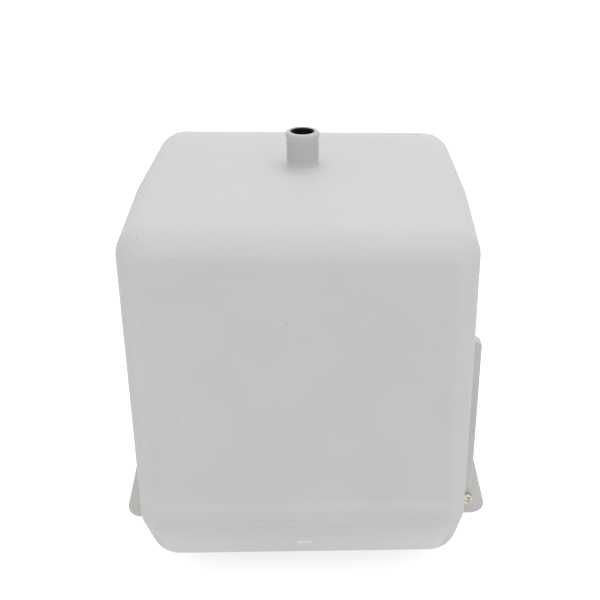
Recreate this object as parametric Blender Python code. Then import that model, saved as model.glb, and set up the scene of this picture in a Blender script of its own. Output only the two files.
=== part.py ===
# Header tank of a cooling circuit. Two moulded half shells meet in an upright joint plane, with
# side flanges and bolt lugs in that plane, a hose neck on top and an outlet low at the back.
# The front faces -Y, +Z is up, and the origin is the middle of the flat bottom.

import math

import bmesh
import bpy
from mathutils import Matrix, Vector

mm = 0.001

# Tank body
JOINT_WIDTH = 260 * mm  # across the side walls at the joint, where the tank is widest
BODY_HEIGHT = 336 * mm  # flat bottom to the top at the joint
FRONT_DEPTH = 122 * mm  # joint plane to the front wall
REAR_DEPTH = 132 * mm  # joint plane to the rear wall
JOINT_Y = -5 * mm
SIDE_DRAFT = 0.023  # how far a side wall leans in for each unit away from the joint
TOP_DRAFT = 0.011
WALL = 4 * mm
EDGE_RADIUS = 24.5 * mm
CREASE_EDGE = 17.5 * mm  # radius of the side edges at the crease, where they are tightest
CREASE_RADIUS = 10 * mm
SOFT_RADIUS = 2 * mm  # least rounding of a corner where it runs into a side wall
CREASE_HEIGHT = 88.5 * mm  # foot of the upright front wall
TOE_SETBACK = 33.5 * mm  # from the front wall back to the knee below the steep chamfer
TOE_HEIGHT = 36 * mm
FLOOR_SETBACK = 100 * mm  # from the front wall back to where the floor turns flat
JOINT_GAP = 0.3 * mm
SEAT_GAP = 0.3 * mm  # round every piece that is pressed into another

# Side flanges: a straight strip on the front shell over a lugged plate on the rear shell
FLANGE_REACH = 19.5 * mm  # flange beyond the side wall
STRIP_THICKNESS = 5 * mm
PLATE_THICKNESS = 6 * mm
TOP_MARGIN = 21 * mm  # where the slanted top edge leaves the side wall, above the upper bolt hole
TOP_SLANT = 0.6  # fall of that edge for each unit outwards
TOP_CORNER = 3 * mm
LUG_REACH = 35.8 * mm  # lug beyond the side wall, before its corner is rounded
LUG_FOOT = 5.5 * mm  # lug's lower edge above the ground
LUG_CORNER = 11 * mm
FLARE_HEIGHT = 69 * mm  # where the flange starts to widen into the lug
LUG_HOLE_REACH = 16 * mm
LUG_HOLE_HEIGHT = 24.5 * mm
UPPER_HOLE_REACH = 7.5 * mm
UPPER_HOLE_HEIGHT = 178 * mm
STRIP_MARGIN = 8.5 * mm  # strip's lower end above the lug's bush
BOLT_BORE = 6.6 * mm  # bore of every bush, for a 6 mm bolt
BUSH_WALL = 1.6 * mm

# Webs that brace each strip against the side wall
WEB_HEIGHTS = (105 * mm, 157 * mm)
WEB_LENGTH = 26 * mm
WEB_THICKNESS = 4 * mm
WEB_MARGIN = 6 * mm  # web's tip inside the strip's outer edge

# Locating nib in the middle of the front chamfer
NIB_WIDTH = 13 * mm
NIB_HEIGHT = 63 * mm
NIB_REACH = 3 * mm
NIB_FALL = 3 * mm  # tip below the nib's top
NIB_DROP = 5 * mm

# Hose connections
NECK_MARGIN = 3 * mm  # between the joint plane and the neck's root
NECK_RADIUS = 12.5 * mm
NECK_LENGTH = 28.5 * mm
NECK_ROOT = 2.5 * mm
OUTLET_MARGIN = 8.5 * mm  # between the round of the rear wall's lower edge and the outlet's root
OUTLET_RADIUS = 16 * mm
OUTLET_LENGTH = 32 * mm
OUTLET_ROOT = 5 * mm
LIP_RISE = 0.7 * mm  # bead at the mouth, beyond the spigot's outside
LIP_LENGTH = 6 * mm
SPIGOT_WALL = 3 * mm
SLEEVE_WALL = 1.5 * mm
SEAT_LEDGE = 2 * mm  # wall left under a sleeve, above the tank's outside

# Facets
ROUND_STEPS = 8
ARC_STEPS = 5
TURN_STEPS = 40
HOLE_STEPS = 24


def clear_scene():
    for item in list(bpy.data.objects):
        bpy.data.objects.remove(item, do_unlink=True)


def material(name, colour, roughness, metallic=0.0):
    made = bpy.data.materials.new(name)
    made.use_nodes = True
    shader = made.node_tree.nodes["Principled BSDF"]
    shader.inputs["Base Color"].default_value = (*colour, 1.0)
    shader.inputs["Roughness"].default_value = roughness
    shader.inputs["Metallic"].default_value = metallic
    return made


def solid(name, form, finish=None):
    bmesh.ops.recalc_face_normals(form, faces=form.faces)
    mesh = bpy.data.meshes.new(name)
    form.to_mesh(mesh)
    form.free()
    mesh.shade_smooth()
    mesh.set_sharp_from_angle(angle=math.radians(30))
    made = bpy.data.objects.new(name, mesh)
    bpy.context.scene.collection.objects.link(made)
    if finish:
        mesh.materials.append(finish)
    else:
        made.hide_render = True
        made.display_type = "WIRE"
    return made


def combine(target, operation, tool):
    step = target.modifiers.new(tool.name, "BOOLEAN")
    step.operation = operation
    step.solver = "EXACT"
    step.object = tool


def offset_path(points, distances):
    # Moves an open path to the left of its direction, by its own distance at each point
    lines = []
    for start, end, near, far in zip(points, points[1:], distances, distances[1:]):
        along = (end - start).normalized()
        left = Vector((-along.y, along.x))
        first, last = start + left * near, end + left * far
        lines.append((first, (last - first).normalized(), last))
    moved = [lines[0][0]]
    for (start, along, _), (other, across, _) in zip(lines, lines[1:]):
        reach = (other - start).cross(across) / along.cross(across)
        moved.append(start + along * reach)
    moved.append(lines[-1][2])
    return moved


def fillet_path(points, radii, steps):
    # Rounds each inner corner of an open path with an arc
    path = [points[0]]
    for before, corner, after, radius in zip(points, points[1:], points[2:], radii):
        back = (before - corner).normalized()
        ahead = (after - corner).normalized()
        half = back.angle(ahead) / 2
        centre = corner + (back + ahead).normalized() * (radius / math.sin(half))
        start = corner + back * (radius / math.tan(half)) - centre
        end = corner + ahead * (radius / math.tan(half)) - centre
        sweep = math.pi - 2 * half
        for step in range(steps + 1):
            share = step / steps
            arm = start * math.sin((1 - share) * sweep) + end * math.sin(share * sweep)
            path.append(centre + arm / math.sin(sweep))
    path.append(points[-1])
    return path


def side_view(front):
    # Sharp side view of one half from rim to rim, with the tank's inside on its left: each corner as
    # (y, z), the radius that rounds it, and the radius of the side edges where they pass it
    if front:
        rim = JOINT_Y - JOINT_GAP / 2
        end = JOINT_Y - FRONT_DEPTH
        return (
            (rim, BODY_HEIGHT, 0, EDGE_RADIUS),
            (end, BODY_HEIGHT - TOP_DRAFT * FRONT_DEPTH, EDGE_RADIUS, EDGE_RADIUS),
            (end, CREASE_HEIGHT, CREASE_RADIUS, CREASE_EDGE),
            (end + TOE_SETBACK, TOE_HEIGHT, EDGE_RADIUS, EDGE_RADIUS),
            (end + FLOOR_SETBACK, 0, EDGE_RADIUS, EDGE_RADIUS),
            (rim, 0, 0, EDGE_RADIUS),
        )
    rim = JOINT_Y + JOINT_GAP / 2
    end = JOINT_Y + REAR_DEPTH
    return (
        (rim, 0, 0, EDGE_RADIUS),
        (end, 0, EDGE_RADIUS, EDGE_RADIUS),
        (end, BODY_HEIGHT - TOP_DRAFT * REAR_DEPTH, EDGE_RADIUS, EDGE_RADIUS),
        (rim, BODY_HEIGHT, 0, EDGE_RADIUS),
    )


def side_slice(front, side, turn, inset):
    # One upright slice through a rolled side edge: the side view sunk by as much as the edge has turned
    corners = side_view(front)
    rolls = [roll - inset for *_, roll in corners]
    sinks = [inset + roll * (1 - math.cos(turn)) for roll in rolls]
    path = offset_path([Vector(corner[:2]) for corner in corners], sinks)
    path[0].x = path[-1].x = corners[0][0]
    rounds = [max(corner[2] - sink, SOFT_RADIUS) for corner, sink in zip(corners, sinks)]
    path = fillet_path(path, rounds[1:-1], ARC_STEPS)
    spread = [rolls[0]]
    for roll in rolls[1:-1]:
        spread += [roll] * (ARC_STEPS + 1)
    spread.append(rolls[-1])
    points = []
    for point, roll in zip(path, spread):
        half = JOINT_WIDTH / 2 - SIDE_DRAFT * abs(point.x - JOINT_Y) - inset
        points.append(Vector((side * (half - roll * (1 - math.sin(turn))), point.x, point.y)))
    return points


def half_shell(front):
    # Outer skin, inner skin and the rim between them, each skin laid over slices from side to side
    form = bmesh.new()
    turns = [math.pi / 2 * step / ROUND_STEPS for step in range(ROUND_STEPS + 1)]
    stations = [(-1, turn) for turn in reversed(turns)] + [(1, turn) for turn in turns]
    rims = []
    for inset in (0.0, WALL):
        rows = []
        for side, turn in stations:
            points = side_slice(front, side, turn, inset)
            rows.append([form.verts.new(point) for point in points])
        for near, far in zip(rows, rows[1:]):
            for index in range(1, len(near)):
                form.faces.new((near[index - 1], near[index], far[index], far[index - 1]))
        form.faces.new(rows[0])
        form.faces.new(rows[-1])
        rims.append([row[0] for row in rows] + [row[-1] for row in reversed(rows)])
    join_rings(form, *rims)
    bmesh.ops.remove_doubles(form, verts=form.verts, dist=0.001 * mm)
    return form


def join_rings(form, near, far):
    for index in range(len(near)):
        form.faces.new((near[index - 1], near[index], far[index], far[index - 1]))


def turned(profile, place, turn=Matrix(), steps=TURN_STEPS):
    # Turns a profile of (radius, height) round its own Z axis, then puts it in place
    form = bmesh.new()
    points = [form.verts.new((radius, 0, height)) for radius, height in profile]
    edges = [form.edges.new(pair) for pair in zip(points, points[1:])]
    bmesh.ops.spin(
        form,
        geom=points + edges,
        cent=(0, 0, 0),
        axis=(0, 0, 1),
        angle=2 * math.pi,
        steps=steps,
        use_merge=True,
    )
    bmesh.ops.remove_doubles(form, verts=form.verts, dist=0.001 * mm)
    bmesh.ops.transform(form, matrix=Matrix.Translation(place) @ turn, verts=form.verts)
    return form


def ring_profile(inner, outer, low, high):
    return [(inner, high), (outer, high), (outer, low), (inner, low), (inner, high)]


def slab(outline, start, end):
    # Extrudes an outline of (x, z) points along Y
    form = bmesh.new()
    face = form.faces.new([form.verts.new((x, start, z)) for x, z in outline])
    grown = bmesh.ops.extrude_face_region(form, geom=[face])
    moved = [item for item in grown["geom"] if isinstance(item, bmesh.types.BMVert)]
    bmesh.ops.translate(form, verts=moved, vec=(0, end - start, 0))
    return form


def gather(forms):
    # Puts several separate bodies into one tool
    whole = bmesh.new()
    for form in forms:
        part = bpy.data.meshes.new("part")
        bmesh.ops.recalc_face_normals(form, faces=form.faces)
        form.to_mesh(part)
        form.free()
        whole.from_mesh(part)
        bpy.data.meshes.remove(part)
    return whole


def mirrored(form):
    other = form.copy()
    bmesh.ops.scale(other, vec=(-1, 1, 1), verts=other.verts)
    return other


def both_sides(form):
    return gather([form, mirrored(form)])


def wall_face():
    return JOINT_WIDTH / 2


def flange_top_edge(inner):
    # From the slanted top edge's outer corner back into the side wall
    outer = wall_face() + FLANGE_REACH
    top = UPPER_HOLE_HEIGHT + TOP_MARGIN
    corner = Vector((outer, top - TOP_SLANT * FLANGE_REACH))
    root = Vector((inner, top + TOP_SLANT * (wall_face() - inner)))
    return corner, root


def strip_outline():
    # Straight flange of the front shell, which stops above the lug's bush
    inner = wall_face() - WALL / 2
    outer = wall_face() + FLANGE_REACH
    foot = LUG_HOLE_HEIGHT + BOLT_BORE / 2 + BUSH_WALL + STRIP_MARGIN
    corner, root = flange_top_edge(inner)
    path = [Vector((inner, foot)), Vector((outer, foot)), corner, root]
    return [tuple(point) for point in fillet_path(path, (TOP_CORNER, TOP_CORNER), ARC_STEPS)]


def plate_outline():
    # Flange of the rear shell, which widens into the lug and follows the tank's lower corner
    inner = wall_face() - WALL / 2
    outer = wall_face() + FLANGE_REACH
    corner, root = flange_top_edge(inner)
    bend = inner - (wall_face() - EDGE_RADIUS)
    dip = math.asin((EDGE_RADIUS - LUG_FOOT) / EDGE_RADIUS)
    under = []
    for step in range(ARC_STEPS + 1):
        turn = dip * step / ARC_STEPS
        x = wall_face() - EDGE_RADIUS + bend * math.cos(turn)
        under.append(Vector((x, EDGE_RADIUS - bend * math.sin(turn))))
    foot = Vector((under[-1].x, LUG_FOOT))
    tip = Vector((wall_face() + LUG_REACH, LUG_FOOT))
    waist = Vector((outer, FLARE_HEIGHT))
    radii = (LUG_CORNER, LUG_CORNER, TOP_CORNER)
    outside = fillet_path([foot, tip, waist, corner, root], radii, ARC_STEPS)
    return [tuple(point) for point in outside + under[:-1]]


def web(height):
    # Triangular web in the corner between a strip's front face and the side wall
    face = JOINT_Y - JOINT_GAP / 2 - STRIP_THICKNESS
    inner = wall_face() - WALL / 2
    tip = wall_face() + FLANGE_REACH - WEB_MARGIN
    form = bmesh.new()
    low = height - WEB_THICKNESS / 2
    back = face + STRIP_THICKNESS / 2
    end = face - WEB_LENGTH
    corners = ((inner, back), (inner, end), (wall_face(), end), (tip, face), (tip, back))
    lower = form.faces.new([form.verts.new((x, y, low)) for x, y in corners])
    grown = bmesh.ops.extrude_face_region(form, geom=[lower])
    moved = [item for item in grown["geom"] if isinstance(item, bmesh.types.BMVert)]
    bmesh.ops.translate(form, verts=moved, vec=(0, 0, WEB_THICKNESS))
    return form


def nib():
    # Small wedge with a sloped top, standing out of the chamfer
    slope = TOE_SETBACK / (CREASE_HEIGHT - TOE_HEIGHT)
    face = JOINT_Y - FRONT_DEPTH + (CREASE_HEIGHT - NIB_HEIGHT) * slope
    sunk = face + WALL / 2
    side = (
        (sunk, NIB_HEIGHT),
        (face + NIB_FALL * slope - NIB_REACH, NIB_HEIGHT - NIB_FALL),
        (face + NIB_DROP * slope, NIB_HEIGHT - NIB_DROP),
        (sunk + NIB_DROP * slope, NIB_HEIGHT - NIB_DROP),
    )
    form = bmesh.new()
    end = form.faces.new([form.verts.new((-NIB_WIDTH / 2, y, z)) for y, z in side])
    grown = bmesh.ops.extrude_face_region(form, geom=[end])
    moved = [item for item in grown["geom"] if isinstance(item, bmesh.types.BMVert)]
    bmesh.ops.translate(form, verts=moved, vec=(NIB_WIDTH, 0, 0))
    return form


def spigot_profile(radius, length, root):
    # Outside of a hose spigot: rounded lip, bead, straight stretch and a fillet at its root
    lip = radius + LIP_RISE
    points = [(0, length), (radius - SPIGOT_WALL / 2, length)]
    for step in range(1, ARC_STEPS + 1):
        turn = math.pi / 2 * step / ARC_STEPS
        edge = LIP_RISE + SPIGOT_WALL / 2
        points.append((lip - edge + edge * math.sin(turn), length - edge + edge * math.cos(turn)))
    points += [(lip, length - LIP_LENGTH / 2), (radius, length - LIP_LENGTH)]
    for step in range(ARC_STEPS + 1):
        turn = math.pi / 2 * step / ARC_STEPS
        points.append((radius + root - root * math.cos(turn), root - root * math.sin(turn)))
    return points + [(radius + root, -WALL / 2), (0, -WALL / 2)]


def bore_profile(radius, length):
    # Seat for the sleeve down to a ledge, then the passage into the tank
    seat = radius - SPIGOT_WALL
    passage = seat - SEAT_GAP - SLEEVE_WALL
    above = length + LIP_LENGTH
    below = -2 * WALL
    upper = [(0, above), (seat, above), (seat, SEAT_LEDGE)]
    return upper + [(passage, SEAT_LEDGE), (passage, below), (0, below)]


def sleeve(name, radius, length, place, turn, finish):
    outer = radius - SPIGOT_WALL - SEAT_GAP
    profile = ring_profile(outer - SLEEVE_WALL, outer, SEAT_LEDGE + SEAT_GAP, length)
    return solid(name, turned(profile, place, turn), finish)


def hole(x, z, radius, start, end):
    turn = Matrix.Rotation(math.radians(90), 4, "X")
    length = end - start
    profile = [(0, length), (radius, length), (radius, 0), (0, 0)]
    return turned(profile, (x, end, z), turn, HOLE_STEPS)


def bush(name, x, z, start, end, finish):
    turn = Matrix.Rotation(math.radians(90), 4, "X")
    profile = ring_profile(BOLT_BORE / 2, BOLT_BORE / 2 + BUSH_WALL, 0, end - start)
    return solid(name, turned(profile, (x, end, z), turn, HOLE_STEPS), finish)


def build():
    clear_scene()
    milky = (0.74, 0.75, 0.74)
    front_shell = solid("front_shell", half_shell(True), material("front_shell", milky, 0.42))
    rear_shell = solid("rear_shell", half_shell(False), material("rear_shell", milky, 0.42))

    # Planes of the two flange layers
    strip_back = JOINT_Y - JOINT_GAP / 2
    strip_face = strip_back - STRIP_THICKNESS
    plate_face = JOINT_Y + JOINT_GAP / 2
    plate_back = plate_face + PLATE_THICKNESS
    lug_x = wall_face() + LUG_HOLE_REACH
    upper_x = wall_face() + UPPER_HOLE_REACH
    seat = BOLT_BORE / 2 + BUSH_WALL + SEAT_GAP
    through = (strip_face - WALL, plate_back + WALL)

    # Front shell: strips, webs, nib and the upper bolt holes
    strips = solid("strip_tool", both_sides(slab(strip_outline(), strip_face, strip_back)))
    webs = solid("web_tool", both_sides(gather([web(height) for height in WEB_HEIGHTS])))
    front_holes = both_sides(hole(upper_x, UPPER_HOLE_HEIGHT, seat, *through))
    combine(front_shell, "UNION", strips)
    combine(front_shell, "UNION", webs)
    combine(front_shell, "UNION", solid("nib_tool", nib()))
    combine(front_shell, "DIFFERENCE", solid("front_hole_tool", front_holes))

    # Rear shell: lugged plates, neck, outlet, their bores and all bolt holes
    neck_back = NECK_RADIUS + NECK_ROOT + NECK_MARGIN
    neck_place = Vector((0, JOINT_Y + neck_back, BODY_HEIGHT - TOP_DRAFT * neck_back))
    outlet_height = EDGE_RADIUS + OUTLET_MARGIN + OUTLET_ROOT + OUTLET_RADIUS
    outlet_place = Vector((0, JOINT_Y + REAR_DEPTH, outlet_height))
    upright = Matrix()
    backwards = Matrix.Rotation(math.radians(-90), 4, "X")
    spigots = (
        ("neck", NECK_RADIUS, NECK_LENGTH, NECK_ROOT, neck_place, upright),
        ("outlet", OUTLET_RADIUS, OUTLET_LENGTH, OUTLET_ROOT, outlet_place, backwards),
    )
    plates = solid("plate_tool", both_sides(slab(plate_outline(), plate_face, plate_back)))
    combine(rear_shell, "UNION", plates)
    tubes = []
    bores = [
        both_sides(hole(upper_x, UPPER_HOLE_HEIGHT, seat, *through)),
        both_sides(hole(lug_x, LUG_HOLE_HEIGHT, seat, *through)),
    ]
    black = (0.012, 0.011, 0.010)
    for name, radius, length, root, place, turn in spigots:
        tubes.append(turned(spigot_profile(radius, length, root), place, turn))
        bores.append(turned(bore_profile(radius, length), place, turn))
        sleeve(name + "_sleeve", radius, length, place, turn, material(name + "_sleeve", black, 0.5))
    combine(rear_shell, "UNION", solid("spigot_tool", gather(tubes)))
    combine(rear_shell, "DIFFERENCE", solid("bore_tool", gather(bores)))

    # Steel bushes as long as both flange layers, which keep the bolts from crushing the plastic
    zinc = (0.55, 0.40, 0.16)
    for side, way in (("left", -1), ("right", 1)):
        for row, x, z in (("lug", lug_x, LUG_HOLE_HEIGHT), ("upper", upper_x, UPPER_HOLE_HEIGHT)):
            name = row + "_bush_" + side
            bush(name, way * x, z, strip_face, plate_back, material(name, zinc, 0.35, 1.0))


build()
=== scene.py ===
import math

import bmesh
import bpy
from mathutils import Matrix, Vector


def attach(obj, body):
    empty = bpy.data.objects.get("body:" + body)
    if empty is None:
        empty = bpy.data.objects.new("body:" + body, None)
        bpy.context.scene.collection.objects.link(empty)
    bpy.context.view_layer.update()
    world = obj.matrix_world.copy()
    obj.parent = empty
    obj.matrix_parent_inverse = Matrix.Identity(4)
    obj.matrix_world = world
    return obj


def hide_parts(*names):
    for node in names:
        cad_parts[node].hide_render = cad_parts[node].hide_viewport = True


# Header tank of a cooling circuit: two milky moulded halves, a hose neck with a dark sleeve on top,
# an outlet low at the back, and bolt flanges at the sides. Shapes are worked out in millimetres.
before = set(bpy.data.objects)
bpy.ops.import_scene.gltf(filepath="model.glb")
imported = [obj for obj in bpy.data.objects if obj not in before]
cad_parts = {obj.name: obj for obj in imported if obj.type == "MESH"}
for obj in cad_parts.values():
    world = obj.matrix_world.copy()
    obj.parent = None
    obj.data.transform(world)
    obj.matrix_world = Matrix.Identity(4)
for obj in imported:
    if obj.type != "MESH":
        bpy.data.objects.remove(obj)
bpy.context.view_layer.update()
mm = 0.001
print("frame loaded:", len(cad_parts), "solids")


def linear(hexColour):
    parts = [int(hexColour[start:start + 2], 16) / 255 for start in (1, 3, 5)]
    return tuple(c / 12.92 if c <= 0.04045 else ((c + 0.055) / 1.055) ** 2.4 for c in parts) + (1.0,)


def addNode(tree, kind, inputs=None, **settings):
    # Another node's socket is linked, anything else is set as the value
    made = tree.nodes.new(kind)
    for name, value in settings.items():
        setattr(made, name, value)
    for name, value in (inputs or {}).items():
        if isinstance(value, bpy.types.NodeSocket):
            tree.links.new(value, made.inputs[name])
        else:
            made.inputs[name].default_value = value
    return made


def newMaterial(name):
    made = bpy.data.materials.new(name)
    made.use_nodes = True
    made.node_tree.nodes.clear()
    return made, made.node_tree


# Side walls lean in and the top falls away from the upright joint, as mould halves need
tank = {
    "width": 260, "height": 336, "jointY": -5, "frontDepth": 122, "rearDepth": 132,
    "sideDraft": 0.023, "topDraft": 0.011, "wall": 4,
    "edge": 24.5, "creaseEdge": 17.5, "creaseRound": 10,
    "creaseHeight": 88.5, "toeBack": 33.5, "toeHeight": 36, "floorBack": 100,
    "overrun": 1,  # how far the hollow is cut past the joint
    "segments": 88,  # round a whole ball: its rings then meet the chamfer and the sloped floor too
}
frontY = tank["jointY"] - tank["frontDepth"]
rearY = tank["jointY"] + tank["rearDepth"]
footSlope = tank["toeBack"] / (tank["creaseHeight"] - tank["toeHeight"])

# Straight strip on the front half, lugged plate behind it on the rear half: (x, z, corner radius)
flange = {
    "strip": [(120, 38, 0), (149.5, 38, 3), (149.5, 187.3, 3), (120, 205, 0)],
    "plate": [(112, 5.5, 0), (165.8, 5.5, 11), (149.5, 69, 11), (149.5, 187.3, 3), (120, 205, 0)],
    "stripThick": 5, "plateThick": 6,
    "lugTop": 66,  # the lug's front rim is free below the strip, and softened up to here
    "webs": (105, 157), "webThick": 4, "webLength": 26, "webTip": 143.5,
    "webRoot": 124, "webHeel": 129.4, "webSink": 2,
    "lugHole": (146, 24.5), "upperHole": (137.5, 178), "bolt": 3.3, "drillReach": 20,
    "bushWall": 1.6, "bushPlay": 0.1, "bushChamfer": 0.5,
    "bushSeam": 2,  # height on the bore where the bush's profile starts and ends
    "turn": 90,  # bolts run from front to back
    "steps": 48,
}

# Wedge under the crease: its top falls a little towards the tip
nib = {"width": 13, "height": 63, "reach": 3, "fall": 3, "drop": 5, "sink": 2, "lap": 0.3, "tipRound": 0.5}

# Hose spigots: outside radius, length, fillet at the root, foot point and way out
spigots = {
    "neck": {"radius": 12.5, "length": 28.5, "root": 2.5, "foot": (0, 13, 335.8), "turn": 0},
    "outlet": {"radius": 16, "length": 32, "root": 5, "foot": (0, 127, 54), "turn": -90},
    "lipRise": 0.7, "lipLength": 6, "lipRound": 1.4, "beadRound": 1.5, "lap": 0.2, "sink": 2,
    "wall": 3, "ledge": 2, "passageStep": 0.3, "boreAbove": 5, "boreBelow": 12,
    "sleeveWall": 1.5, "sleevePlay": 0.05, "sleeveLift": 0.1, "sleeveSunk": 0.3,
    "sleeveRounds": (0.3, 0.5, 0.6),  # foot, outside of the mouth, inside of the mouth
    "steps": 96,
}

# Lengths are in millimetres and angles in degrees
finish = {
    "edgeRound": 0.7, "nibRound": 0.3, "edgeSteps": 3, "cornerSteps": 8, "profileSteps": 6,
    "snap": 1e-3, "seam": 1e-4, "weld": 0.005, "flat": 0.4, "sharp": 35, "bushSharp": 25,
}


def setback(before, corner, after, radius):
    # How far from a corner an arc of this radius starts
    half = (before - corner).angle(after - corner) / 2
    return radius / math.tan(half)


def pressed(corners, axis, start, end, soft=()):
    # Flat outline with rounded corners, given thickness along X, Y or Z.
    # Each soft rim is (level, up to which height of the outline, radius of its small round).
    form = bmesh.new()
    points = [Vector(corner[:2]) for corner in corners]
    form.faces.new([form.verts.new((*point, start)) for point in points])
    grown = bmesh.ops.extrude_face_region(form, geom=form.faces[:])
    risen = [item for item in grown["geom"] if isinstance(item, bmesh.types.BMVert)]
    bmesh.ops.translate(form, verts=risen, vec=(0, 0, end - start))
    for index, corner in enumerate(corners):
        if len(corner) < 3 or not corner[2]:
            continue
        at, after = points[index], points[(index + 1) % len(points)]
        reach = setback(points[index - 1], at, after, corner[2])
        uprights = [edge for edge in form.edges
                    if all((vert.co.xy - at).length < finish["snap"] for vert in edge.verts)]
        bmesh.ops.bevel(form, geom=uprights, offset=reach, offset_type="OFFSET",
                        segments=finish["cornerSteps"], profile=0.5, affect="EDGES", material=-1)
    for level, upTo, radius in soft:
        rim = [edge for edge in form.edges
               if all(abs(vert.co.z - level) < finish["snap"] and vert.co.y < upTo for vert in edge.verts)]
        bmesh.ops.bevel(form, geom=rim, offset=radius, offset_type="OFFSET",
                        segments=finish["edgeSteps"], profile=0.5, affect="EDGES", material=-1)
    order = {"X": ((0, 0, 1), (1, 0, 0), (0, 1, 0)), "Y": ((1, 0, 0), (0, 0, 1), (0, 1, 0)),
             "Z": ((1, 0, 0), (0, 1, 0), (0, 0, 1))}[axis]
    bmesh.ops.transform(form, matrix=Matrix(order).to_4x4(), verts=form.verts)
    return form


def spun(profile, foot, turn, steps):
    # Profile of (radius, height, rounding) turned round its own axis and stood on its foot
    form = bmesh.new()
    line = [form.verts.new((radius, 0, height)) for radius, height, _ in profile]
    for pair in zip(line, line[1:]):
        form.edges.new(pair)
    rounds = []
    for before, corner, after, (_, _, radius) in zip(line, line[1:], line[2:], profile[1:]):
        if radius:
            rounds.append((corner, setback(before.co, corner.co, after.co, radius)))
    for corner, reach in rounds:
        bmesh.ops.bevel(form, geom=[corner], offset=reach, offset_type="OFFSET",
                        segments=finish["profileSteps"], profile=0.5, affect="VERTICES", material=-1)
    bmesh.ops.spin(form, geom=form.verts[:] + form.edges[:], cent=(0, 0, 0), axis=(0, 0, 1),
                   angle=2 * math.pi, steps=steps, use_merge=True)
    bmesh.ops.remove_doubles(form, verts=form.verts, dist=finish["seam"])
    place = Matrix.Translation(foot) @ Matrix.Rotation(math.radians(turn), 4, "X")
    bmesh.ops.transform(form, matrix=place, verts=form.verts)
    return form


def bothSides(form):
    # Adds the same shape on the other side of the tank
    other = bmesh.ops.duplicate(form, geom=form.verts[:] + form.edges[:] + form.faces[:])
    moved = [item for item in other["geom"] if isinstance(item, bmesh.types.BMVert)]
    bmesh.ops.scale(form, vec=(-1, 1, 1), verts=moved)
    return form


def newPiece(name, form):
    bmesh.ops.recalc_face_normals(form, faces=form.faces)
    bmesh.ops.scale(form, vec=(mm, mm, mm), verts=form.verts)
    mesh = bpy.data.meshes.new(name)
    form.to_mesh(mesh)
    form.free()
    made = bpy.data.objects.new(name, mesh)
    bpy.context.scene.collection.objects.link(made)
    return made


def inOrder(mesh):
    # The solver leaves points and faces in any order. Sorted, they give the same mesh each run.
    spots = sorted(range(len(mesh.vertices)), key=lambda index: mesh.vertices[index].co[:])
    rank = {old: new for new, old in enumerate(spots)}
    rings = []
    for face in mesh.polygons:
        ring = [rank[index] for index in face.vertices]
        first = ring.index(min(ring))
        rings.append(ring[first:] + ring[:first])
    points = [mesh.vertices[index].co[:] for index in spots]
    mesh.clear_geometry()
    mesh.from_pydata(points, [], sorted(rings))


def combine(target, operation, form):
    # Joins a tool shape to a piece, or cuts it out, and drops the tool
    tool = newPiece("tool", form)
    step = target.modifiers.new("step", "BOOLEAN")
    step.operation, step.solver, step.object = operation, "EXACT", tool
    graph = bpy.context.evaluated_depsgraph_get()
    solved = bpy.data.meshes.new_from_object(target.evaluated_get(graph))
    inOrder(solved)
    target.modifiers.clear()
    used, target.data = target.data, solved
    bpy.data.meshes.remove(used)
    used = tool.data
    bpy.data.objects.remove(tool, do_unlink=True)
    bpy.data.meshes.remove(used)


def rounded(piece, angle):
    # Smooth to the eye, apart from edges that turn by more than the angle
    piece.data.shade_smooth()
    piece.data.set_sharp_from_angle(angle=math.radians(angle))


def smoothSkin(piece):
    # Welds the slivers that the cuts leave, thins out the flat areas and keeps only real edges sharp
    form = bmesh.new()
    form.from_mesh(piece.data)
    weld, flat = finish["weld"] * mm, math.radians(finish["flat"])
    bmesh.ops.remove_doubles(form, verts=form.verts, dist=weld)
    bmesh.ops.dissolve_degenerate(form, edges=form.edges, dist=weld)
    bmesh.ops.dissolve_limit(form, angle_limit=flat, verts=form.verts, edges=form.edges)
    form.to_mesh(piece.data)
    form.free()
    rounded(piece, finish["sharp"])
    piece.modifiers.new("flatNormals", "WEIGHTED_NORMAL").keep_sharp = True


def settle(piece, node, material):
    piece.data.materials.clear()
    piece.data.materials.append(material)
    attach(piece, "root")
    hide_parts(node)
    print("made", piece.name, "for", node)


def sideView(front):
    # Sharp side view of one half from rim to rim: (y, z) and the radius of the side edge there
    rim, high, roll = tank["jointY"], tank["height"], tank["edge"]
    if front:
        return [
            ((rim, high), roll),
            ((frontY, high - tank["topDraft"] * tank["frontDepth"]), roll),
            ((frontY, tank["creaseHeight"]), tank["creaseEdge"]),
            ((frontY + tank["toeBack"], tank["toeHeight"]), roll),
            ((frontY + tank["floorBack"], 0), roll),
            ((rim, 0), roll),
        ]
    return [
        ((rim, high), roll),
        ((rearY, high - tank["topDraft"] * tank["rearDepth"]), roll),
        ((rearY, 0), roll),
        ((rim, 0), roll),
    ]


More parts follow.
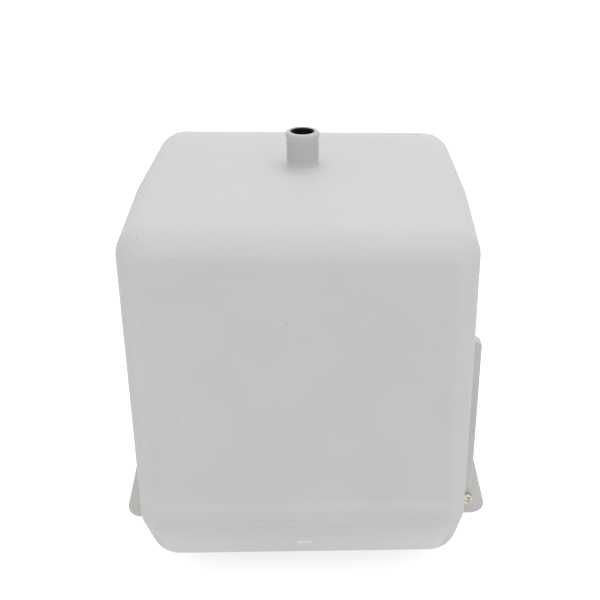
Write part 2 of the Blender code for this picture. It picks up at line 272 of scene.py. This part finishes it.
def tankHalf(front, inset, overrun=0):
    # A skin stretched over a ball in every corner, and over a ring where the half meets the joint.
    # Smaller balls on the same centres give the inside of the wall.
    form = bmesh.new()
    steps = tank["segments"]
    acrossX = Matrix.Rotation(math.radians(90), 4, "Y")
    acrossY = Matrix.Rotation(math.radians(90), 4, "X")
    corners = sideView(front)
    way = 1 if front else -1
    for side in (-1, 1):
        for (y, z), roll in (corners[0], corners[-1]):
            x = side * (tank["width"] / 2 - roll)
            level = z - roll if z else roll
            place = Matrix.Translation((x, y + way * overrun, level)) @ acrossY
            bmesh.ops.create_circle(form, segments=steps, radius=roll - inset, matrix=place)
        for before, (corner, roll), after in zip(corners, corners[1:], corners[2:]):
            at, back, ahead = Vector(corner), Vector(before[0]), Vector(after[0])
            back, ahead = (back - at).normalized(), (ahead - at).normalized()
            deep = 1 / math.sin(back.angle(ahead) / 2)
            centre = at + (back + ahead).normalized() * (roll * deep)
            x = side * (tank["width"] / 2 - tank["sideDraft"] * abs(centre.x - tank["jointY"]) - roll)
            place = Matrix.Translation((x, centre.x, centre.y)) @ acrossX
            bmesh.ops.create_uvsphere(form, u_segments=steps, v_segments=steps // 2,
                                      radius=roll - inset, matrix=place)
            if roll == tank["creaseEdge"]:
                # A tighter bar between the balls keeps the crease crisp
                tight = tank["creaseRound"]
                bar = at + (back + ahead).normalized() * (tight * deep)
                place = Matrix.Translation((x, bar.x, bar.y)) @ acrossX
                bmesh.ops.create_circle(form, segments=steps, radius=tight - inset, matrix=place)
    bmesh.ops.delete(form, geom=form.edges[:] + form.faces[:], context="EDGES_FACES")
    bmesh.ops.remove_doubles(form, verts=form.verts, dist=finish["snap"])
    bmesh.ops.convex_hull(form, input=form.verts[:])
    bmesh.ops.delete(form, geom=[vert for vert in form.verts if not vert.link_faces], context="VERTS")
    # The low balls reach past the joint, so the half is trimmed there
    trim = (0, tank["jointY"] + way * overrun, 0)
    bmesh.ops.bisect_plane(form, geom=form.verts[:] + form.edges[:] + form.faces[:], dist=finish["seam"],
                           plane_co=trim, plane_no=(0, way, 0), clear_outer=True)
    bmesh.ops.holes_fill(form, edges=[edge for edge in form.edges if edge.is_boundary])
    return form


def boltHole(place):
    # Drilled through the flange, with room for a bush
    x, z = place
    radius, reach = flange["bolt"] + flange["bushWall"] + flange["bushPlay"], flange["drillReach"]
    profile = [(0, 2 * reach, 0), (radius, 2 * reach, 0), (radius, 0, 0), (0, 0, 0)]
    return spun(profile, (x, tank["jointY"] + reach, z), flange["turn"], flange["steps"])


def spigotBody(kind):
    # Outside of a hose spigot: rolled lip, bead, straight stretch and a fillet into the wall
    radius, length, root = kind["radius"], kind["length"], kind["root"]
    lip, bead = radius + spigots["lipRise"], length - spigots["lipLength"]
    wide, lap, sunk = radius + 2 * root, -spigots["lap"], -spigots["sink"]
    profile = [(0, length, 0), (lip, length, spigots["lipRound"]),
               (lip, length - spigots["lipLength"] / 2, spigots["beadRound"]),
               (radius, bead, spigots["beadRound"]), (radius, lap, root), (wide, lap, 0),
               (wide, sunk, 0), (0, sunk, 0)]
    return spun(profile, kind["foot"], kind["turn"], spigots["steps"])


def spigotBore(kind):
    # Seat for the sleeve down to a ledge, then the passage into the tank
    seat, ledge = kind["radius"] - spigots["wall"], spigots["ledge"]
    passage = seat - spigots["sleeveWall"] - spigots["passageStep"]
    top, low = kind["length"] + spigots["boreAbove"], -spigots["boreBelow"]
    profile = [(0, top, 0), (seat, top, 0), (seat, ledge, 0), (passage, ledge, 0),
               (passage, low, 0), (0, low, 0)]
    return spun(profile, kind["foot"], kind["turn"], spigots["steps"])


def chamferNib():
    top, fall, drop, sink = nib["height"], nib["fall"], nib["drop"], nib["sink"]
    wall = frontY + (tank["creaseHeight"] - top) * footSlope
    corners = [(wall + sink, top), (wall + nib["lap"], top),
               (wall + fall * footSlope - nib["reach"], top - fall, nib["tipRound"]),
               (wall + drop * footSlope, top - drop), (wall + sink + drop * footSlope, top - drop)]
    half, soft = nib["width"] / 2, finish["nibRound"]
    return pressed(corners, "X", -half, half, [(-half, math.inf, soft), (half, math.inf, soft)])


def frontShell(material):
    joint, soft = tank["jointY"], finish["edgeRound"]
    face = joint - flange["stripThick"]
    piece = newPiece("frontShellMoulding", tankHalf(True, 0))
    strip = pressed(flange["strip"], "Y", face, joint, [(face, math.inf, soft)])
    combine(piece, "UNION", bothSides(strip))
    root, heel, tip = flange["webRoot"], flange["webHeel"], flange["webTip"]
    sunk, end = face + flange["webSink"], face - flange["webLength"]
    corners = [(root, sunk), (root, end), (heel, end), (tip, face), (tip, sunk)]
    for height in flange["webs"]:
        low, high = height - flange["webThick"] / 2, height + flange["webThick"] / 2
        rims = [(low, math.inf, soft), (high, math.inf, soft)]
        combine(piece, "UNION", bothSides(pressed(corners, "Z", low, high, rims)))
    combine(piece, "UNION", chamferNib())
    combine(piece, "DIFFERENCE", tankHalf(True, tank["wall"], tank["overrun"]))
    combine(piece, "DIFFERENCE", bothSides(boltHole(flange["upperHole"])))
    smoothSkin(piece)
    settle(piece, "front_shell", material)


def rearShell(material):
    joint, soft = tank["jointY"], finish["edgeRound"]
    back = joint + flange["plateThick"]
    piece = newPiece("rearShellMoulding", tankHalf(False, 0))
    rims = [(back, math.inf, soft), (joint, flange["lugTop"], soft)]
    combine(piece, "UNION", bothSides(pressed(flange["plate"], "Y", joint, back, rims)))
    for name in ("neck", "outlet"):
        combine(piece, "UNION", spigotBody(spigots[name]))
    combine(piece, "DIFFERENCE", tankHalf(False, tank["wall"], tank["overrun"]))
    for name in ("neck", "outlet"):
        combine(piece, "DIFFERENCE", spigotBore(spigots[name]))
    for hole in (flange["lugHole"], flange["upperHole"]):
        combine(piece, "DIFFERENCE", bothSides(boltHole(hole)))
    smoothSkin(piece)
    settle(piece, "rear_shell", material)


def sleeve(name, material):
    # Dark lining tube of a spigot, with softened ends
    kind = spigots[name]
    outer = kind["radius"] - spigots["wall"] - spigots["sleevePlay"]
    inner = outer - spigots["sleeveWall"]
    low, high = spigots["ledge"] + spigots["sleeveLift"], kind["length"] - spigots["sleeveSunk"]
    middle = (low + high) / 2
    footRound, outerRound, innerRound = spigots["sleeveRounds"]
    profile = [(inner, middle, 0), (inner, low, footRound), (outer, low, footRound),
               (outer, high, outerRound), (inner, high, innerRound), (inner, middle, 0)]
    piece = newPiece(name + "SleeveTube", spun(profile, kind["foot"], kind["turn"], spigots["steps"]))
    rounded(piece, finish["sharp"])
    settle(piece, name + "_sleeve", material)


def bush(name, node, place, material):
    # Turned steel bush through both thicknesses of the flange, chamfered inside and out at both ends.
    # Under the strip it stands clear of the lug by the strip's thickness.
    bolt, chamfer, seam = flange["bolt"], flange["bushChamfer"], flange["bushSeam"]
    outer = bolt + flange["bushWall"]
    long = flange["stripThick"] + flange["plateThick"]
    outline = [(bolt, seam), (bolt, long - chamfer), (bolt + chamfer, long), (outer - chamfer, long),
               (outer, long - chamfer), (outer, chamfer), (outer - chamfer, 0), (bolt + chamfer, 0),
               (bolt, chamfer), (bolt, seam)]
    profile = [(*point, 0) for point in outline]
    x, z = place
    foot = (x, tank["jointY"] + flange["plateThick"], z)
    piece = newPiece(name, spun(profile, foot, flange["turn"], flange["steps"]))
    rounded(piece, finish["bushSharp"])
    settle(piece, node, material)


# Shades are factors on the colour, or what is added to a factor of one. Heights and lengths are in
# millimetres. A pair tells where a fade or a band begins and ends, except for paintedShadeLines and
# roughness.
milky = {
    "body": "#DADADA", "warm": "#DBDBD9", "flange": "#DCDCD9", "speck": "#8C8A80",
    "mottle": 70, "mottleShade": 0.975, "cloudy": (0.3, 0.7), "tint": 120, "tinted": (0.35, 0.65),
    # Painted light and shade: front panel and rolled edges, rear edge of the top, band and lines, chamfer,
    # nib, strip, spigots and their roots
    "panel": 0.968, "panelSink": (0.03, 1.8), "rollPaintedLight": 1.012, "rollSink": (2, 9),
    "rearPaintedLight": 0.08, "glowBack": (48, 8), "glowDown": (50, 15),
    "paintedLightBand": (104, 113), "lightBandFade": 1, "lightBandPale": 0.03,
    "paintedShadeLines": (95.5, 316.5), "lineWidth": 2.4, "lineShade": -0.07, "linePatch": 9, "patchy": (0.5, 0.68),
    "footPaintedLight": 0.215, "footSink": (0.5, 3), "nibHighlight": 0.125, "nibStand": 0.2,
    "sideOut": (129.5, 134), "stripPaintedShade": -0.035, "stripRise": (55, 85),
    "lined": 0.805, "linedRise": 9, "mouth": 0.88, "mouthDown": (9, 4), "spigotSkin": 1.2,
    "rootShadow": 0.965, "rootShadowReach": 11, "rootShadowDepth": 30,
    "speckEvery": 20, "speckSize": 0.03,  # size as a share of the spacing
    "speckCore": 0.6, "speckShade": 0.7,
    "grain": 1.4, "grainBump": 0.08, "grainDepth": 0.2,
    "roughness": (0.44, 0.54), "ior": 1.51, "specular": 0.15,
    "subsurface": 0.2, "depth": 3.0, "scatter": (1.0, 1.0, 0.9),
}
softly = {"interpolation_type": "SMOOTHSTEP"}


def frontLightAndShade(tree, y, panel):
    # Painted shade makes the flat front a little darker, and painted light makes the rolled edges round it
    # a little paler
    begin, end = ((frontY + sink) * mm for sink in milky["rollSink"])
    return [
        addNode(tree, "ShaderNodeMapRange", {"Value": panel, "To Min": 1.0, "To Max": milky["panel"]}),
        addNode(tree, "ShaderNodeMapRange", {
            "Value": y, "From Min": begin, "From Max": end,
            "To Min": milky["rollPaintedLight"], "To Max": 1.0}, **softly),
    ]


def rearEdgePaintedLight(tree, y, z):
    # Painted light makes the top pale softly towards its rear edge
    begin, end = ((rearY - back) * mm for back in milky["glowBack"])
    edge = addNode(tree, "ShaderNodeMapRange", {
        "Value": y, "From Min": begin, "From Max": end,
        "To Min": 0, "To Max": milky["rearPaintedLight"]}, **softly)
    begin, end = ((tank["height"] - down) * mm for down in milky["glowDown"])
    above = addNode(tree, "ShaderNodeMapRange", {"Value": z, "From Min": begin, "From Max": end}, **softly)
    return addNode(tree, "ShaderNodeMath", {
        0: edge.outputs[0], 1: above.outputs[0], 2: 1.0}, operation="MULTIPLY_ADD")


def bandAndLineShades(tree, place, z, panel):
    # Painted light makes a pale band across the front above the crease, and painted shade draws broken
    # dark lines where the flat of the front begins and ends
    (low, high), fade = milky["paintedLightBand"], milky["lightBandFade"]
    rise = addNode(tree, "ShaderNodeMapRange", {
        "Value": z, "From Min": low * mm, "From Max": (low + fade) * mm})
    fall = addNode(tree, "ShaderNodeMapRange", {
        "Value": z, "From Min": (high - fade) * mm, "From Max": (high + fade) * mm,
        "To Min": milky["lightBandPale"], "To Max": 0.0})
    band = addNode(tree, "ShaderNodeMath", {0: rise.outputs[0], 1: fall.outputs[0]}, operation="MULTIPLY")
    shades = [addNode(tree, "ShaderNodeMath", {
        0: band.outputs[0], 1: panel, 2: 1.0}, operation="MULTIPLY_ADD")]
    broken = addNode(tree, "ShaderNodeTexNoise", {
        "Vector": place, "Scale": 1 / (milky["linePatch"] * mm), "Detail": 4})
    begin, end = milky["patchy"]
    patches = addNode(tree, "ShaderNodeMapRange", {
        "Value": broken.outputs["Fac"], "From Min": begin, "From Max": end,
        "To Min": 0, "To Max": milky["lineShade"]})
    patches = addNode(tree, "ShaderNodeMath", {0: patches.outputs[0], 1: panel}, operation="MULTIPLY")
    for height in milky["paintedShadeLines"]:
        off = addNode(tree, "ShaderNodeMath", {0: z, 1: height * mm}, operation="SUBTRACT")
        off = addNode(tree, "ShaderNodeMath", {0: off.outputs[0]}, operation="ABSOLUTE")
        line = addNode(tree, "ShaderNodeMapRange", {
            "Value": off.outputs[0], "From Max": milky["lineWidth"] * mm,
            "To Min": 1.0, "To Max": 0.0}, **softly)
        shades.append(addNode(tree, "ShaderNodeMath", {
            0: line.outputs[0], 1: patches.outputs[0], 2: 1.0}, operation="MULTIPLY_ADD"))
    return shades


def footLightAndHighlight(tree, y, z):
    # Painted light makes the chamfer paler towards the foot, and a painted highlight lies on the nib: it
    # alone stands out of the chamfer's plane
    plane = frontY + footSlope * tank["creaseHeight"]
    stand = addNode(tree, "ShaderNodeMath", {0: z, 1: footSlope, 2: y}, operation="MULTIPLY_ADD").outputs[0]
    begin, end = ((plane + sink) * mm for sink in milky["footSink"])
    chamfer = addNode(tree, "ShaderNodeMapRange", {
        "Value": stand, "From Min": begin, "From Max": end, "To Min": 1.0, "To Max": 0.0}, **softly)
    depth = addNode(tree, "ShaderNodeMapRange", {
        "Value": z, "From Min": tank["toeHeight"] * mm, "From Max": tank["creaseHeight"] * mm,
        "To Min": milky["footPaintedLight"], "To Max": 0.0})
    proud = addNode(tree, "ShaderNodeMath", {
        0: stand, 1: (plane - milky["nibStand"]) * mm}, operation="LESS_THAN")
    return [
        addNode(tree, "ShaderNodeMath", {
            0: chamfer.outputs[0], 1: depth.outputs[0], 2: 1.0}, operation="MULTIPLY_ADD"),
        addNode(tree, "ShaderNodeMath", {
            0: proud.outputs[0], 1: milky["nibHighlight"], 2: 1.0}, operation="MULTIPLY_ADD"),
    ]


def flangeLook(tree, x, z, body):
    # Flanges outside the side walls look a little warmer, and painted shade makes the strip darker than the
    # lug
    wide = addNode(tree, "ShaderNodeMath", {0: x}, operation="ABSOLUTE")
    begin, end = (out * mm for out in milky["sideOut"])
    outside = addNode(tree, "ShaderNodeMapRange", {
        "Value": wide.outputs[0], "From Min": begin, "From Max": end}, **softly).outputs[0]
    colour = addNode(tree, "ShaderNodeMix", {
        0: outside, 6: body, 7: linear(milky["flange"])}, data_type="RGBA")
    begin, end = (height * mm for height in milky["stripRise"])
    strip = addNode(tree, "ShaderNodeMapRange", {
        "Value": z, "From Min": begin, "From Max": end,
        "To Min": 0, "To Max": milky["stripPaintedShade"]}, **softly)
    shade = addNode(tree, "ShaderNodeMath", {
        0: outside, 1: strip.outputs[0], 2: 1.0}, operation="MULTIPLY_ADD")
    return colour.outputs[2], shade


def sleeveShade(tree, place, kind, flat, out):
    # Painted shade stands for the dark sleeve showing through the thin spigot wall, and a painted shadow
    # rings the skin round its root
    edge, foot = kind["radius"] * mm, Vector(kind["foot"]) * mm
    offset = addNode(tree, "ShaderNodeVectorMath", {0: place, 1: foot}, operation="SUBTRACT").outputs[0]
    across = addNode(tree, "ShaderNodeVectorMath", {0: offset, 1: flat}, operation="MULTIPLY")
    reach = addNode(tree, "ShaderNodeVectorMath", {0: across.outputs[0]}, operation="LENGTH")
    reach = reach.outputs["Value"]
    up = addNode(tree, "ShaderNodeSeparateXYZ", {0: offset}).outputs[out]
    dark = addNode(tree, "ShaderNodeMapRange", {
        "Value": up, "From Min": 0, "From Max": milky["linedRise"] * mm,
        "To Min": milky["rootShadow"], "To Max": milky["lined"]}, **softly)
    begin, end = ((kind["length"] - down) * mm for down in milky["mouthDown"])
    lip = addNode(tree, "ShaderNodeMapRange", {"Value": up, "From Min": begin, "From Max": end}, **softly)
    dark = addNode(tree, "ShaderNodeMix", {0: lip.outputs[0], 2: dark.outputs[0], 3: milky["mouth"]})
    rootShadow = addNode(tree, "ShaderNodeMapRange", {
        "Value": reach, "From Min": edge, "From Max": edge + milky["rootShadowReach"] * mm,
        "To Min": milky["rootShadow"], "To Max": 1.0}, **softly)
    within = addNode(tree, "ShaderNodeMath", {
        0: reach, 1: edge + milky["spigotSkin"] * mm}, operation="LESS_THAN")
    either = addNode(tree, "ShaderNodeMix", {0: within.outputs[0], 2: rootShadow.outputs[0], 3: dark.outputs[0]})
    beyond = addNode(tree, "ShaderNodeMath", {
        0: up, 1: -milky["rootShadowDepth"] * mm}, operation="GREATER_THAN")
    return addNode(tree, "ShaderNodeMix", {0: beyond.outputs[0], 2: 1.0, 3: either.outputs[0]})


def milkyPolyethylene():
    # Polyethylene from a satin steel mould: a waxy, even white that light enters a little way, with a
    # fine grain, faint clouds where the melt flowed, and a few dark specks of the regrind
    material, tree = newMaterial("milkyPolyethyleneMoulded")
    place = addNode(tree, "ShaderNodeTexCoord").outputs["Object"]
    axes = addNode(tree, "ShaderNodeSeparateXYZ", {0: place})
    x, y, z = (axes.outputs[name] for name in "XYZ")
    clear, cloudy = milky["cloudy"]
    clouds = addNode(tree, "ShaderNodeTexNoise", {
        "Vector": place, "Scale": 1 / (milky["mottle"] * mm), "Detail": 3}).outputs["Fac"]
    mottle = addNode(tree, "ShaderNodeMapRange", {
        "Value": clouds, "From Min": clear, "From Max": cloudy,
        "To Min": milky["mottleShade"], "To Max": 1.0})
    drift = addNode(tree, "ShaderNodeTexNoise", {
        "Vector": place, "Scale": 1 / (milky["tint"] * mm), "Detail": 1})
    begin, end = milky["tinted"]
    warmth = addNode(tree, "ShaderNodeMapRange", {
        "Value": drift.outputs["Fac"], "From Min": begin, "From Max": end})
    body = addNode(tree, "ShaderNodeMix", {
        0: warmth.outputs[0], 6: linear(milky["body"]), 7: linear(milky["warm"])}, data_type="RGBA")
    colour, stripPaintedShade = flangeLook(tree, x, z, body.outputs[2])

    # One on the flat of the front, and nothing on the rolled edges
    begin, end = ((frontY + sink) * mm for sink in milky["panelSink"])
    panel = addNode(tree, "ShaderNodeMapRange", {
        "Value": y, "From Min": begin, "From Max": end, "To Min": 1.0, "To Max": 0.0}, **softly).outputs[0]
    # Apart from the mottle, these shades are painted light and shade
    shades = [
        mottle, *frontLightAndShade(tree, y, panel), rearEdgePaintedLight(tree, y, z), *bandAndLineShades(tree, place, z, panel),
        *footLightAndHighlight(tree, y, z), stripPaintedShade, sleeveShade(tree, place, spigots["neck"], (1, 1, 0), "Z"),
        sleeveShade(tree, place, spigots["outlet"], (1, 0, 1), "Y"),
    ]
    shade = shades[0].outputs[0]
    for factor in shades[1:]:
        product = addNode(tree, "ShaderNodeMath", {0: shade, 1: factor.outputs[0]}, operation="MULTIPLY")
        shade = product.outputs[0]
    toned = addNode(tree, "ShaderNodeMix", {
        0: 1.0, 6: colour, 7: shade}, data_type="RGBA", blend_type="MULTIPLY")
    cells = addNode(tree, "ShaderNodeTexVoronoi", {
        "Vector": place, "Scale": 1 / (milky["speckEvery"] * mm)})
    dots = addNode(tree, "ShaderNodeMapRange", {
        "Value": cells.outputs["Distance"], "From Min": milky["speckSize"] * milky["speckCore"],
        "From Max": milky["speckSize"], "To Min": milky["speckShade"], "To Max": 0.0})
    speckled = addNode(tree, "ShaderNodeMix", {
        0: dots.outputs[0], 6: toned.outputs[2], 7: linear(milky["speck"])}, data_type="RGBA")

    # Real mould grain is about 0.3 mm; it is drawn coarser so that it shows
    grain = addNode(tree, "ShaderNodeTexNoise", {
        "Vector": place, "Scale": 1 / (milky["grain"] * mm), "Detail": 2})
    bump = addNode(tree, "ShaderNodeBump", {
        "Height": grain.outputs["Fac"], "Strength": milky["grainBump"],
        "Distance": milky["grainDepth"] * mm})
    satin, matt = milky["roughness"]
    gloss = addNode(tree, "ShaderNodeMapRange", {
        "Value": clouds, "From Min": clear, "From Max": cloudy, "To Min": satin, "To Max": matt})
    skin = addNode(tree, "ShaderNodeBsdfPrincipled", {
        "Base Color": speckled.outputs[2], "Roughness": gloss.outputs[0], "Normal": bump.outputs[0],
        "IOR": milky["ior"], "Specular IOR Level": milky["specular"],
        "Subsurface Weight": milky["subsurface"], "Subsurface Radius": milky["scatter"],
        "Subsurface Scale": milky["depth"] * mm})
    addNode(tree, "ShaderNodeOutputMaterial", {"Surface": skin.outputs[0]})
    return material


# Pattern sizes and the depth of the bump are in millimetres, for the steel too
sleeveBlack = {
    "body": "#1A1612", "dusty": "#2B261F", "dust": 4, "dusted": (0.45, 0.8), "bump": 0.1, "bumpDepth": 0.1,
    "roughness": (0.42, 0.62), "ior": 1.49, "specular": 0.12,
}


def blackPolypropylene():
    # Black polypropylene tube, moulded and left as it came: deep brown-black, satin, with faint dust
    material, tree = newMaterial("blackPolypropyleneMoulded")
    place = addNode(tree, "ShaderNodeTexCoord").outputs["Object"]
    dust = addNode(tree, "ShaderNodeTexNoise", {
        "Vector": place, "Scale": 1 / (sleeveBlack["dust"] * mm), "Detail": 4}).outputs["Fac"]
    begin, end = sleeveBlack["dusted"]
    amount = addNode(tree, "ShaderNodeMapRange", {"Value": dust, "From Min": begin, "From Max": end})
    colour = addNode(tree, "ShaderNodeMix", {
        0: amount.outputs[0], 6: linear(sleeveBlack["body"]), 7: linear(sleeveBlack["dusty"])},
        data_type="RGBA")
    satin, matt = sleeveBlack["roughness"]
    gloss = addNode(tree, "ShaderNodeMapRange", {"Value": dust, "To Min": satin, "To Max": matt})
    bump = addNode(tree, "ShaderNodeBump", {
        "Height": dust, "Strength": sleeveBlack["bump"], "Distance": sleeveBlack["bumpDepth"] * mm})
    skin = addNode(tree, "ShaderNodeBsdfPrincipled", {
        "Base Color": colour.outputs[2], "Roughness": gloss.outputs[0], "Normal": bump.outputs[0],
        "IOR": sleeveBlack["ior"], "Specular IOR Level": sleeveBlack["specular"]})
    addNode(tree, "ShaderNodeOutputMaterial", {"Surface": skin.outputs[0]})
    return material


bushSteel = {
    "pale": "#F1ECE2", "straw": "#DFD5C3", "film": 5, "filmed": (0.35, 0.65), "roughness": (0.26, 0.42),
    "marks": 0.5, "marksAlong": (0.02, 1, 0.02), "bump": 0.2, "bumpDepth": 0.05,
}


def passivatedSteel():
    # Turned steel with yellow passivated zinc: a thin straw film that drifts in hue, over fine tool marks
    material, tree = newMaterial("yellowPassivatedSteelTurned")
    place = addNode(tree, "ShaderNodeTexCoord").outputs["Object"]
    film = addNode(tree, "ShaderNodeTexNoise", {
        "Vector": place, "Scale": 1 / (bushSteel["film"] * mm), "Detail": 2}).outputs["Fac"]
    begin, end = bushSteel["filmed"]
    amount = addNode(tree, "ShaderNodeMapRange", {"Value": film, "From Min": begin, "From Max": end})
    colour = addNode(tree, "ShaderNodeMix", {
        0: amount.outputs[0], 6: linear(bushSteel["pale"]), 7: linear(bushSteel["straw"])},
        data_type="RGBA")
    # Tool marks run round the bush, so they change along its length only. Real ones are about 0.1 mm
    # apart; they are drawn coarser so that they show.
    marks = addNode(tree, "ShaderNodeMapping", {"Vector": place, "Scale": bushSteel["marksAlong"]})
    lines = addNode(tree, "ShaderNodeTexNoise", {
        "Vector": marks.outputs[0], "Scale": 1 / (bushSteel["marks"] * mm), "Detail": 1})
    bump = addNode(tree, "ShaderNodeBump", {
        "Height": lines.outputs["Fac"], "Strength": bushSteel["bump"],
        "Distance": bushSteel["bumpDepth"] * mm})
    bright, dull = bushSteel["roughness"]
    gloss = addNode(tree, "ShaderNodeMapRange", {"Value": film, "To Min": bright, "To Max": dull})
    skin = addNode(tree, "ShaderNodeBsdfPrincipled", {
        "Base Color": colour.outputs[2], "Metallic": 1.0, "Roughness": gloss.outputs[0],
        "Normal": bump.outputs[0]})
    addNode(tree, "ShaderNodeOutputMaterial", {"Surface": skin.outputs[0]})
    return material


def tankPieces():
    plastic, lining, steel = milkyPolyethylene(), blackPolypropylene(), passivatedSteel()
    frontShell(plastic)
    rearShell(plastic)
    for name in ("neck", "outlet"):
        sleeve(name, lining)
    for side, way in (("left", -1), ("right", 1)):
        for kind in ("lug", "upper"):
            x, z = flange[kind + "Hole"]
            bush(kind + "Bush" + side.title(), kind + "_bush_" + side, (way * x, z), steel)


# Focal length, middle and frame are in pixels of the square picture, the rest in millimetres and degrees
view = {
    "focal": 1035.18, "pitch": 28.02, "yaw": 3.542, "roll": 1.501, "middle": (386.06, 332.18), "frame": 600,
    "aim": (68.37, 0, 193.83), "away": 876.25, "sensor": 36,
}


def photoCamera():
    pitch, yaw, roll = (math.radians(view[name]) for name in ("pitch", "yaw", "roll"))
    ahead = Vector((math.sin(yaw) * math.cos(pitch), math.cos(yaw) * math.cos(pitch), -math.sin(pitch)))
    right = Vector((math.cos(yaw), -math.sin(yaw), 0))
    up = right.cross(ahead)
    level, lean = math.cos(roll), math.sin(roll)
    right, up = right * level + up * lean, up * level - right * lean
    eye = (Vector(view["aim"]) - ahead * view["away"]) * mm
    data = bpy.data.cameras.new("photoCamera")
    data.sensor_width = view["sensor"]
    data.lens = view["focal"] * data.sensor_width / view["frame"]
    data.shift_x = 0.5 - view["middle"][0] / view["frame"]
    data.shift_y = view["middle"][1] / view["frame"] - 0.5
    camera = bpy.data.objects.new("photoCamera", data)
    turn = Matrix((right, up, -ahead)).transposed().to_4x4()
    camera.matrix_world = Matrix.Translation(eye) @ turn
    bpy.context.scene.collection.objects.link(camera)
    bpy.context.scene.camera = camera
    print("camera set")


# Sizes and places are in metres, the floor's drop in millimetres. The lift makes the floor white to the
# camera: mirrored rays see less of it, and soft light none.
studio = {
    "floorSize": 8, "floorDrop": 0.2, "floor": "#F2F2F2", "white": "#FFFFFF",
    "lift": 0.6, "mirroredLift": 0.25, "world": 0.9, "sides": 0.47,
    "lamp": "#F5F8FF", "lampAim": (0, 0, 0.2),
    "overheadSoftbox": {"power": 5.8, "size": (1.8, 1.8), "at": (0.4, -0.1, 1.8), "mirrored": True},
    "backSoftbox": {"power": 4, "size": (1.2, 0.2), "at": (0.1, 1.3, 0.18), "mirrored": False},
}


def studioFloor():
    form = bmesh.new()
    bmesh.ops.create_grid(form, x_segments=2, y_segments=2, size=studio["floorSize"] / 2 / mm)
    bmesh.ops.translate(form, verts=form.verts, vec=(0, 0, -studio["floorDrop"]))
    floor = newPiece("studioFloor", form)
    material, tree = newMaterial("paintedFloorMatt")
    rays = addNode(tree, "ShaderNodeLightPath")
    mirrored = addNode(tree, "ShaderNodeMath", {
        0: rays.outputs["Is Glossy Ray"], 1: rays.outputs["Is Transmission Ray"]}, operation="MAXIMUM")
    mirrored = addNode(tree, "ShaderNodeMath", {
        0: mirrored.outputs[0], 1: studio["mirroredLift"]}, operation="MULTIPLY")
    lift = addNode(tree, "ShaderNodeMath", {
        0: rays.outputs["Is Camera Ray"], 1: studio["lift"], 2: mirrored.outputs[0]},
        operation="MULTIPLY_ADD")
    matt = addNode(tree, "ShaderNodeBsdfDiffuse", {"Color": linear(studio["floor"])})
    glow = addNode(tree, "ShaderNodeEmission", {
        "Color": linear(studio["white"]), "Strength": lift.outputs[0]})
    both = addNode(tree, "ShaderNodeAddShader", {0: matt.outputs[0], 1: glow.outputs[0]})
    addNode(tree, "ShaderNodeOutputMaterial", {"Surface": both.outputs[0]})
    floor.data.materials.append(material)


def studioLight():
    world = bpy.data.worlds.new("softStudio")
    bpy.context.scene.world = world
    world.use_nodes = True
    tree = world.node_tree
    tree.nodes.clear()
    rays = addNode(tree, "ShaderNodeLightPath")
    seen = addNode(tree, "ShaderNodeMath", {
        0: rays.outputs["Is Camera Ray"], 1: rays.outputs["Is Glossy Ray"]}, operation="MAXIMUM")
    seen = addNode(tree, "ShaderNodeMath", {
        0: seen.outputs[0], 1: rays.outputs["Is Transmission Ray"]}, operation="MAXIMUM")
    # Less light comes in from the left and right, so the side rolls shade off
    way = addNode(tree, "ShaderNodeTexCoord").outputs["Object"]
    way = addNode(tree, "ShaderNodeSeparateXYZ", {0: way}).outputs["X"]
    aside = addNode(tree, "ShaderNodeMath", {0: way, 1: way}, operation="MULTIPLY")
    dome = addNode(tree, "ShaderNodeMapRange", {
        "Value": aside.outputs[0], "To Min": studio["world"], "To Max": studio["sides"]})
    strength = addNode(tree, "ShaderNodeMix", {0: seen.outputs[0], 2: dome.outputs[0], 3: 1.0})
    sky = addNode(tree, "ShaderNodeBackground", {
        "Color": linear(studio["white"]), "Strength": strength.outputs[0]})
    addNode(tree, "ShaderNodeOutputWorld", {"Surface": sky.outputs[0]})
    for name in ("overheadSoftbox", "backSoftbox"):
        box = studio[name]
        data = bpy.data.lights.new(name, "AREA")
        data.shape, data.energy = "RECTANGLE", box["power"]
        data.color = linear(studio["lamp"])[:3]
        data.size, data.size_y = box["size"]
        lamp = bpy.data.objects.new(name, data)
        lamp.location, lamp.visible_glossy = box["at"], box["mirrored"]
        aim = Vector(studio["lampAim"]) - lamp.location
        lamp.rotation_euler = aim.to_track_quat("-Z", "Y").to_euler()
        bpy.context.scene.collection.objects.link(lamp)
    print("floor and light set")


bpy.context.scene.view_settings.view_transform = "Standard"
photoCamera()
tankPieces()
studioFloor()
studioLight()
